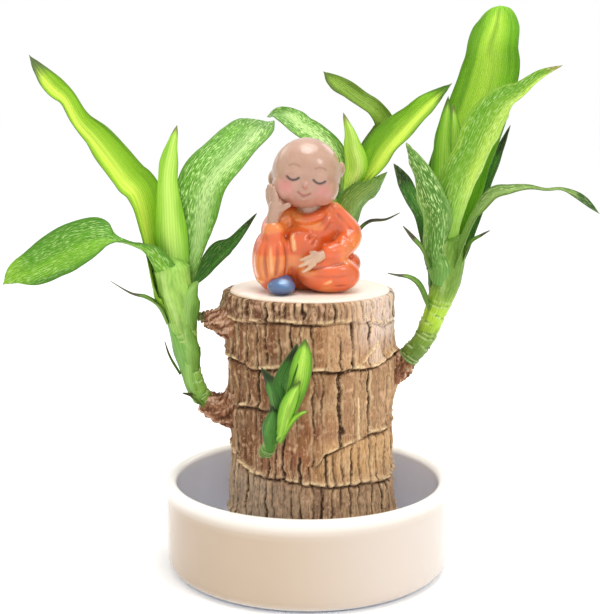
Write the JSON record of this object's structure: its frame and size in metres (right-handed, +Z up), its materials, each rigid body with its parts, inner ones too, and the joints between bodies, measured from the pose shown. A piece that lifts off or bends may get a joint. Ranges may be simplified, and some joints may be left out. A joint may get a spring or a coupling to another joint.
{
  "type": "potted brazilian wood plant",
  "caption": "Brazilian wood stump with leafy side shoots, standing in a shallow round white bowl, with a wax-sealed top that carries a small seated figurine.",
  "frame": {"origin": "middle of the bowl's flat underside", "axes": "+Z up, +X to the right seen from the front, -Y to the front, where the figurine looks"},
  "size_m": [0.2396, 0.1473, 0.2324],
  "materials": {
    "white_glaze": "glossy white glaze",
    "bark": "rough dry bark",
    "wax": "thin satin wax",
    "painted_resin": "glossy hand-painted resin",
    "green_stem": "smooth waxy green skin",
    "leaf": "satin living leaf"
  },
  "bodies": {
    "root": {"bowl": "white_glaze", "stump": "bark", "wax_seal": "wax", "figurine": "painted_resin", "dried_bud": "bark", "left_stem": "green_stem", "right_stem": "green_stem", "back_stem": "green_stem", "front_stem": "green_stem", "left_young_leaf": "leaf", "left_tall_leaf": "leaf", "left_broad_leaf": "leaf", "left_drooping_leaf": "leaf", "left_dark_leaf": "leaf", "left_sheath_leaf": "leaf", "left_clasping_leaf": "leaf", "left_low_leaf": "leaf", "left_outer_bract": "leaf", "left_inner_bract": "leaf", "left_foot_leaf": "leaf", "right_rolled_leaf": "leaf", "right_tall_leaf": "leaf", "right_pointed_leaf": "leaf", "right_upright_leaf": "leaf", "right_spotted_leaf": "leaf", "right_shaded_leaf": "leaf", "right_arching_leaf": "leaf", "right_shaded_outer_leaf": "leaf", "right_dried_tip_leaf": "leaf", "right_low_outer_leaf": "leaf", "right_low_inner_leaf": "leaf", "back_young_leaf": "leaf", "back_long_leaf": "leaf", "back_spotted_leaf": "leaf", "back_arching_leaf": "leaf", "back_sheath_leaf": "leaf", "back_shaded_leaf": "leaf", "back_low_leaf": "leaf", "back_rear_leaf": "leaf", "front_light_leaf": "leaf", "front_shaded_leaf": "leaf", "front_left_leaf": "leaf", "front_right_leaf": "leaf", "front_sheath_leaf": "leaf", "front_low_leaf": "leaf"}
  },
  "joints": []
}
